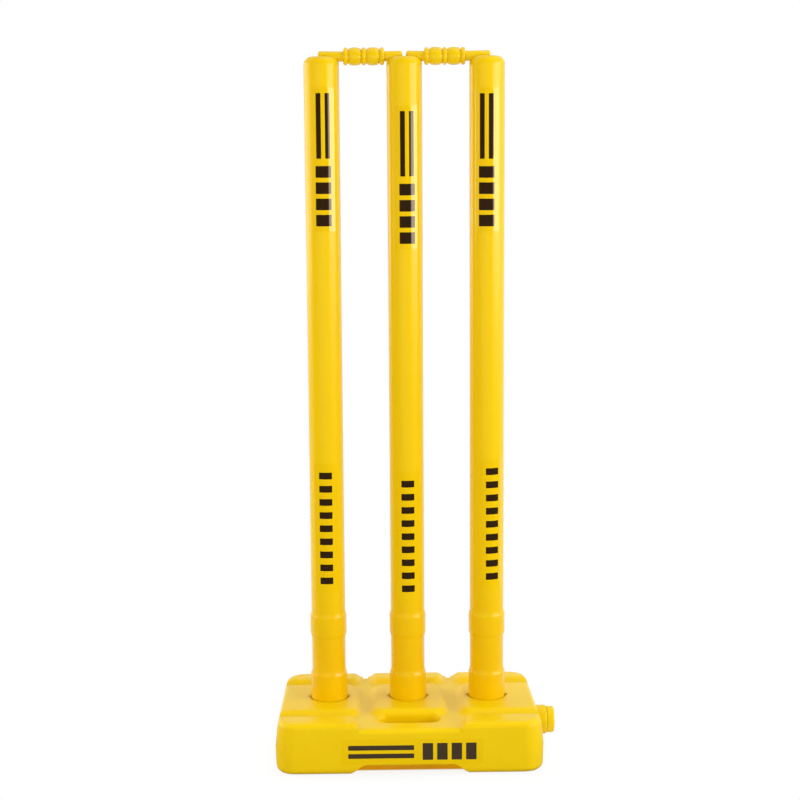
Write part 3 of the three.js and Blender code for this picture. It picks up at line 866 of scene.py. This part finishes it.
# %% [markdown]
# ### Three stumps, three turns
# Each label is copied, moved to its stump and turned about that stump's axis. Linked copies
# won't do, because the place of each label is written into its mesh. It then rides on its stump,
# and stays on it when the stump is pulled.

# %% Copy the labels to the three stumps
# For each stump: its side, and for the high and the low label how far up (mm) and round (degrees)
# it was stuck on from the place of the first one.
LABEL_PLACES = {
    "middle": (0, {"high": (-18.0, 6.5), "low": (-0.5, 2.5)}),
    "left": (-1, {"high": (0.0, 4.0), "low": (8.7, -2.5)}),
    "right": (1, {"high": (-1.2, -4.5), "low": (11.6, 16.0)}),
}

for side, (step, places) in LABEL_PLACES.items():
    for name, (master, material) in label_masters.items():
        lifted, turned = places[name.split("_")[0]]
        label = copy_of(master)
        label.location = (step * STUMP_SPACING, 0, lifted * MM)
        label.rotation_euler = (0, 0, math.radians(turned))
        finish_piece(label, name + "_" + side, side + " stump", material)
for master, _ in label_masters.values():
    bpy.data.objects.remove(master)

# %% [markdown]
# ## The label on the base
# The base has one wide film label on its front wall, which is not flat: it leans out to the
# parting line of the mould and back in below it. A flat grid with rounded corners is laid
# against the wall by a Shrinkwrap modifier, which moves it straight back until it meets the
# tank, and Solidify makes it a film. The print is two long bars and four upright blocks.

# %% Lay the label against the front wall
# Left, right, low and high edges of the film and of what is printed on it.
BASE_FILM = (-69 * MM, 73 * MM, 11.4 * MM, 37.5 * MM)
BASE_BARS = ((-62 * MM, 4 * MM, 17.6 * MM, 22.6 * MM), (-62 * MM, 4 * MM, 26.2 * MM, 31.2 * MM))
BASE_BLOCK = (12.5 * MM, 23 * MM, 15.6 * MM, 33.2 * MM)
BASE_BLOCK_COUNT = 4
BASE_BLOCK_PITCH = 14.5 * MM
# How far off the wall each lies, how thick it is, and how far its corners are cut back.
FILM_LAY = (0.02 * MM, 0.06 * MM, 1.6 * MM)
INK_LAY = (0.085 * MM, 0.02 * MM, 0.7 * MM)
WALL_STEP = 1.5 * MM
IN_FRONT = -100 * MM
ROUND_PROFILE = 0.5


def wall_patch(left, right, low, high, lift, thickness, corner):
    """A flat patch with rounded corners, laid against the tank's front wall."""
    bpy.ops.mesh.primitive_plane_add(
        size=1,
        location=((left + right) / 2, IN_FRONT, (low + high) / 2),
        rotation=(math.pi / 2, 0, 0),
    )
    piece = bpy.context.object
    piece.scale = (right - left, high - low, 1)
    bpy.ops.object.transform_apply(location=True, rotation=True, scale=True)
    start_edit(piece)
    pick(piece, "VERT", lambda vertex: True)
    bpy.ops.mesh.bevel(
        offset=corner, segments=CORNER_CUTS, affect="VERTICES", profile=ROUND_PROFILE
    )
    for axis, start, end in ((Vector((0, 0, 1)), low, high), (Vector((1, 0, 0)), left, right)):
        place = start + WALL_STEP
        while place < end - WALL_STEP / 2:
            bpy.ops.mesh.select_all(action="SELECT")
            bpy.ops.mesh.bisect(plane_co=axis * place, plane_no=axis)
            place += WALL_STEP
    bpy.ops.object.mode_set(mode="OBJECT")
    wrap = piece.modifiers.new("against the wall", "SHRINKWRAP")
    wrap.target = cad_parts["base_tank"]
    wrap.wrap_method = "PROJECT"
    wrap.use_project_y = True
    wrap.use_positive_direction = True
    wrap.use_negative_direction = False
    wrap.wrap_mode = "ABOVE_SURFACE"
    wrap.offset = lift
    skin = piece.modifiers.new("thickness", "SOLIDIFY")
    skin.thickness = thickness
    skin.offset = 1
    apply_modifiers(piece)
    return piece


base_film = wall_patch(*BASE_FILM, *FILM_LAY)
base_inks = [wall_patch(*bar, *INK_LAY) for bar in BASE_BARS]
for block in range(BASE_BLOCK_COUNT):
    left, right, low, high = BASE_BLOCK
    along = block * BASE_BLOCK_PITCH
    base_inks.append(wall_patch(left + along, right + along, low, high, *INK_LAY))
base_print = join_pieces(base_inks)
finish_piece(base_film, "base_film", "base", tank_film)
finish_piece(base_print, "base_print", "base", tank_ink)
print("the label lies at Y", round(min(v.co.y for v in base_film.data.vertices) / MM, 3), "mm")

# %% [markdown]
# ## The screw threads
# The cap screws on the filler's neck with a coarse thread of 3 mm a turn. It shows when the cap
# is backed off. The ridge is a small trapezium, and the Screw modifier winds it round the axis
# of the neck with an exact pitch. The cap's own ridge is wound the same way half a turn ahead, so
# that it runs in the groove of the other. Both are right-handed: a cap turned anticlockwise
# moves outwards.

# %% Wind the two threads
NECK_AXIS_Z = 25.5 * MM
THREAD_PITCH = 3 * MM
THREAD_STEPS = 48
THREAD_START = 145.7 * MM
THREAD_ROOT = 1.1 * MM
THREAD_CREST = 0.4 * MM
# The radius of each ridge where it joins its wall, and at its crest.
NECK_RIDGE = (10.3 * MM, 11.1 * MM)
CAP_RIDGE = (11.75 * MM, 10.9 * MM)
ALONG_RAY = 0.999


def thread(name, from_degrees, ridge, body, material):
    """Winds one turn of ridge round the neck's axis."""
    root, crest = ridge
    bpy.ops.mesh.primitive_plane_add(size=1, location=(0, 0, 0), rotation=(math.pi / 2, 0, 0))
    piece = bpy.context.object
    bpy.ops.object.transform_apply(rotation=True)
    low, high = sorted((root, crest))
    for vertex in piece.data.vertices:
        at_crest = (vertex.co.z > 0) == (crest > root)
        width = THREAD_CREST if at_crest else THREAD_ROOT
        vertex.co = (math.copysign(width / 2, vertex.co.x), 0, high if vertex.co.z > 0 else low)
    screw = piece.modifiers.new("wind", "SCREW")
    screw.axis = "X"
    screw.angle = math.tau
    screw.screw_offset = THREAD_PITCH
    screw.steps = THREAD_STEPS
    screw.render_steps = THREAD_STEPS
    apply_modifiers(piece)
    start_edit(piece)
    bpy.ops.mesh.select_all(action="SELECT")
    bpy.ops.mesh.fill_holes(sides=4)
    bpy.ops.mesh.normals_make_consistent(inside=False)
    bpy.ops.object.mode_set(mode="OBJECT")
    piece.rotation_euler = (math.radians(from_degrees), 0, 0)
    piece.location = (THREAD_START, 0, NECK_AXIS_Z)
    return finish_piece(piece, name, body, material, smooth_degrees=40)


def ridge_at(piece, degrees):
    """Where along X the ridge is, at an angle round the axis from straight up."""
    angle = math.radians(degrees)
    way = Vector((-math.sin(angle), math.cos(angle)))
    spots = []
    for vertex in piece.data.vertices:
        out = Vector((vertex.co.y, vertex.co.z - NECK_AXIS_Z))
        if out.normalized().dot(way) > ALONG_RAY:
            spots.append(vertex.co.x / MM)
    return round(min(spots), 2), round(max(spots), 2)


neck_thread = thread("neck_thread", 0, NECK_RIDGE, "base", tank_yellow)
cap_thread = thread("cap_thread", 180, CAP_RIDGE, "cap", cap_yellow)
for piece in (neck_thread, cap_thread):
    print(piece.name, "lies at X", ridge_at(piece, 90), "mm at 90 degrees and at X",
          ridge_at(piece, 270), "mm at 270 degrees")

# %% [markdown]
# ## The ledge under the thread
# The neck stands on a flat ledge, which the cap's rim comes down on with a tenth of a millimetre
# to spare. A cylinder would need its bore cut out, so it starts as a disc instead, which is inset
# to a ring and made solid by one extrusion.

# %% Model the ledge
LEDGE_SIDES = 64
LEDGE_RADIUS = 13.3 * MM
LEDGE_WIDTH = 3.1 * MM
LEDGE_START = 144.5 * MM
LEDGE_END = 144.9 * MM

bpy.ops.mesh.primitive_circle_add(
    vertices=LEDGE_SIDES,
    radius=LEDGE_RADIUS,
    fill_type="NGON",
    location=(LEDGE_START, 0, NECK_AXIS_Z),
    rotation=(0, math.pi / 2, 0),
)
ledge = bpy.context.object
start_edit(ledge)
bpy.ops.mesh.select_all(action="SELECT")
bpy.ops.mesh.inset(thickness=LEDGE_WIDTH)
bpy.ops.mesh.delete(type="FACE")
bpy.ops.mesh.select_all(action="SELECT")
bpy.ops.mesh.extrude_region_move(
    TRANSFORM_OT_translate={"value": (LEDGE_END - LEDGE_START, 0, 0)}
)
bpy.ops.mesh.select_all(action="SELECT")
bpy.ops.mesh.normals_make_consistent(inside=False)
finish_piece(ledge, "neck_ledge", "base", tank_yellow)
radii = [Vector((v.co.y, v.co.z - NECK_AXIS_Z)).length / MM for v in ledge.data.vertices]
print("the ledge's radius is", round(min(radii), 2), "to", round(max(radii), 2), "mm")

# %% [markdown]
# ## The floor
# A white floor runs to a white background, as in a studio. It keeps a soft contact shadow near
# the wicket and turns plain white farther out. Under the base it is painted amber, a painted
# bounce of the light that the yellow underside throws on it. One plane does all this, because the
# Light Path node tells which ray looks at it. For the camera it is paper with a shadow. For the
# shine of the plastic it is a glow that brightens towards the back. For all other light it is a
# grey that throws less than half of it back on the wicket, but all of it close to the filler cap,
# and under the base a painted glow that lights the underside and the slot from below.

# %% Helper: how far from the base a place on the floor is
# The base's footprint, where the shadow has its full strength.
SHADOW_HALF_X = 0.112
SHADOW_HALF_Y = 0.073


def distance_from_base(nodes, link, place):
    """Takes the place as a socket, and gives the distance as one."""
    outside = reckon(nodes, "VectorMath", "ABSOLUTE")
    margin = reckon(nodes, "VectorMath", "SUBTRACT")
    margin.inputs[1].default_value = (SHADOW_HALF_X, SHADOW_HALF_Y, 0)
    beyond = reckon(nodes, "VectorMath", "MAXIMUM")
    beyond.inputs[1].default_value = (0, 0, 0)
    distance = reckon(nodes, "VectorMath", "LENGTH")
    link(place, outside.inputs[0])
    link(outside.outputs["Vector"], margin.inputs[0])
    link(margin.outputs["Vector"], beyond.inputs[0])
    link(beyond.outputs["Vector"], distance.inputs[0])
    return distance.outputs["Value"]


# %% Helper: the grey that throws light back on the wicket
# The share of its light that the floor throws back, and the same close to the cap.
FLOOR_BOUNCE = 0.45
CAP_BOUNCE = 1.0
CAP_BOUNCE_PLACE = (0.165, 0.0, 0.0)
CAP_BOUNCE_NEAR = 0.035
CAP_BOUNCE_FAR = 0.1


def light_thrown_back(nodes, link, place):
    """Takes the place as a socket, and gives the share as one."""
    from_cap = reckon(nodes, "VectorMath", "DISTANCE")
    from_cap.inputs[1].default_value = CAP_BOUNCE_PLACE
    thrown = ramp(nodes, CAP_BOUNCE_NEAR, CAP_BOUNCE_FAR, CAP_BOUNCE, FLOOR_BOUNCE, smooth=True)
    link(place, from_cap.inputs[0])
    link(from_cap.outputs["Value"], thrown.inputs["Value"])
    return thrown.outputs["Result"]


# %% Helper: the glow that the shine of the plastic sees
FLOOR_SHINE_FROM_Y = -0.12
FLOOR_SHINE_TO_Y = 0.15
FLOOR_SHINE_FRONT = 0.05
FLOOR_SHINE_BACK = 1.0


def glow_in_shine(nodes, link, place):
    """Takes the place as a socket, and gives the glowing surface as one."""
    split = nodes.new("ShaderNodeSeparateXYZ")
    depth = ramp(
        nodes, FLOOR_SHINE_FROM_Y, FLOOR_SHINE_TO_Y, FLOOR_SHINE_FRONT, FLOOR_SHINE_BACK
    )
    mirror = nodes.new("ShaderNodeEmission")
    link(place, split.inputs["Vector"])
    link(split.outputs["Y"], depth.inputs["Value"])
    link(depth.outputs["Result"], mirror.inputs["Strength"])
    return mirror.outputs["Emission"]


# %% The floor
FLOOR_HALF = 6.0
FLOOR_DROP = 0.2 * MM
FLOOR_ROUGHNESS = 0.6
PAPER_WHITE = (0.93, 0.93, 0.93)
# How dark the shadow is, and how far from the base it ends.
SHADOW_SHARE = 0.15
SHADOW_REACH = 0.05
# Under the base: the painted amber bounce that the camera sees on the floor, and its soft edge.
PAINTED_BOUNCE_UNDER_BASE = (0.85, 0.48, 0.03)
UNDER_EDGE = 0.004


def make_floor_material():
    """Camera: paper, shadow, painted amber bounce. Shine: a glow. Other light: grey, painted glow
    under the base.
    """
    material, nodes, link, shader = new_material("floor_white")
    shader.inputs["Roughness"].default_value = FLOOR_ROUGHNESS
    place = nodes.new("ShaderNodeTexCoord").outputs["Object"]
    path = nodes.new("ShaderNodeLightPath")
    for_camera = path.outputs["Is Camera Ray"]
    from_base = distance_from_base(nodes, link, place)
    under = ramp(nodes, 0.0, UNDER_EDGE, 1.0, 0.0)
    fade = ramp(nodes, 0.0, SHADOW_REACH, 1.0 - SHADOW_SHARE, 1.0, smooth=True)
    link(from_base, under.inputs["Value"])
    link(from_base, fade.inputs["Value"])

    # Under the base the camera sees a painted amber, the light that the yellow underside would
    # throw.
    paper_with_painted_bounce = colour_mix(nodes, PAPER_WHITE, PAINTED_BOUNCE_UNDER_BASE)
    paper = colour_mix(nodes)
    link(under.outputs["Result"], paper_with_painted_bounce.inputs["Factor"])
    link(for_camera, paper.inputs["Factor"])
    link(light_thrown_back(nodes, link, place), paper.inputs["A"])
    link(paper_with_painted_bounce.outputs["Result"], paper.inputs["B"])
    link(paper.outputs["Result"], shader.inputs["Base Color"])

    # The glow is the white that the paper turns into farther out, and a painted glow under the base
    # that lights the underside.
    glow = nodes.new("ShaderNodeEmission")
    dim_under = reckon(nodes, "Math", "SUBTRACT")
    dim_under.use_clamp = True
    share = nodes.new("ShaderNodeMix")
    seen = nodes.new("ShaderNodeMixShader")
    mirrored = nodes.new("ShaderNodeMixShader")
    link(fade.outputs["Result"], dim_under.inputs[0])
    link(under.outputs["Result"], dim_under.inputs[1])
    link(for_camera, share.inputs["Factor"])
    link(under.outputs["Result"], share.inputs["A"])
    link(dim_under.outputs["Value"], share.inputs["B"])
    link(share.outputs["Result"], seen.inputs["Fac"])
    link(shader.outputs["BSDF"], seen.inputs[1])
    link(glow.outputs["Emission"], seen.inputs[2])
    link(path.outputs["Is Glossy Ray"], mirrored.inputs["Fac"])
    link(seen.outputs["Shader"], mirrored.inputs[1])
    link(glow_in_shine(nodes, link, place), mirrored.inputs[2])
    link(mirrored.outputs["Shader"], nodes["Material Output"].inputs["Surface"])
    return material


bpy.ops.mesh.primitive_plane_add(size=2 * FLOOR_HALF, location=(0, 0, -FLOOR_DROP))
floor = bpy.context.object
floor.name = "floor"
floor.data.materials.append(make_floor_material())
floor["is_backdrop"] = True
bpy.ops.object.select_all(action="DESELECT")
print("floor is", 2 * FLOOR_HALF, "m wide")

# %% [markdown]
# ## The room
# The camera sees a white background. The wicket sees a room that is bright behind it, which is
# what the pale tops of the base mirror, and nearly dark on the camera's side. The level runs from
# one to the other along Y of the direction that light comes from.

# %% Room light
CAMERA_SIDE_LEVEL = 0.03
BACKDROP_LEVEL = 0.9
DARK_BEFORE = -0.75
BRIGHT_BEHIND = 0.15


def make_room():
    """A white world for the camera, and one that is dark in front for everything else."""
    world = bpy.data.worlds.new("studio")
    bpy.context.scene.world = world
    world.use_nodes = True
    nodes = world.node_tree.nodes
    link = world.node_tree.links.new
    light = nodes["Background"]
    light.inputs["Color"].default_value = (1, 1, 1, 1)
    place = nodes.new("ShaderNodeTexCoord")
    split = nodes.new("ShaderNodeSeparateXYZ")
    level = ramp(nodes, DARK_BEFORE, BRIGHT_BEHIND, CAMERA_SIDE_LEVEL, BACKDROP_LEVEL)
    path = nodes.new("ShaderNodeLightPath")
    seen = reckon(nodes, "Math", "MAXIMUM")
    white = nodes.new("ShaderNodeMix")
    white.inputs["B"].default_value = 1.0
    link(place.outputs["Generated"], split.inputs["Vector"])
    link(split.outputs["Y"], level.inputs["Value"])
    link(path.outputs["Is Camera Ray"], seen.inputs[0])
    link(path.outputs["Is Transmission Ray"], seen.inputs[1])
    link(seen.outputs["Value"], white.inputs["Factor"])
    link(level.outputs["Result"], white.inputs["A"])
    link(white.outputs["Result"], light.inputs["Strength"])


make_room()
print("room level", CAMERA_SIDE_LEVEL, "to", BACKDROP_LEVEL)

# %% [markdown]
# ## The lamps
# A soft box at the front right and a warmer one at the left draw the long streaks down the
# stumps. A wide one in front and one above the right side only fill, and don't show in the
# shine, because the tops of the base would turn pale in them.

# %% Soft boxes
def soft_box(name, degrees, distance, height, width, tall, watts, colour=(1, 1, 1)):
    """An upright area lamp. At 0 degrees it is at the camera, and at 90 it is at its right."""
    azimuth = math.radians(degrees)
    lamp = bpy.data.lights.new(name, "AREA")
    lamp.shape = "RECTANGLE"
    lamp.size = width
    lamp.size_y = tall
    lamp.energy = watts
    lamp.color = colour
    box = bpy.data.objects.new(name, lamp)
    bpy.context.scene.collection.objects.link(box)
    box.location = (distance * math.sin(azimuth), -distance * math.cos(azimuth), height)
    aim = Vector((0, 0, height))
    box.rotation_euler = (aim - box.location).to_track_quat("-Z", "Y").to_euler()
    return box


WARM = (1, 0.85, 0.7)
SLIGHTLY_WARM = (1, 0.94, 0.86)
STRAIGHT_DOWN = (0, 0, 0)

soft_box("key_right", degrees=66, distance=1.9, height=0.62, width=1.9, tall=0.65, watts=19)
soft_box(
    "side_left", degrees=-107, distance=1.7, height=0.65, width=1.7, tall=0.75, watts=12.5,
    colour=WARM,
)
front_fill = soft_box(
    "front_fill", degrees=-14, distance=2.2, height=0.7, width=2.4, tall=1.4, watts=32.5,
    colour=SLIGHTLY_WARM,
)
overhead = soft_box(
    "overhead", degrees=70, distance=0.8, height=1.9, width=1.2, tall=1.2, watts=9
)
overhead.rotation_euler = STRAIGHT_DOWN
for lamp in (front_fill, overhead):
    lamp.visible_glossy = False

# %% [markdown]
# ## Measure and finish
# The finished wicket must be as large as the CAD model and no larger. So the box round all that
# renders, floor left out, is printed in millimetres.

# %% Measure and finish
low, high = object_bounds()
print("visual box, mm:", [round(v * 1000, 1) for v in (*low, *high)])
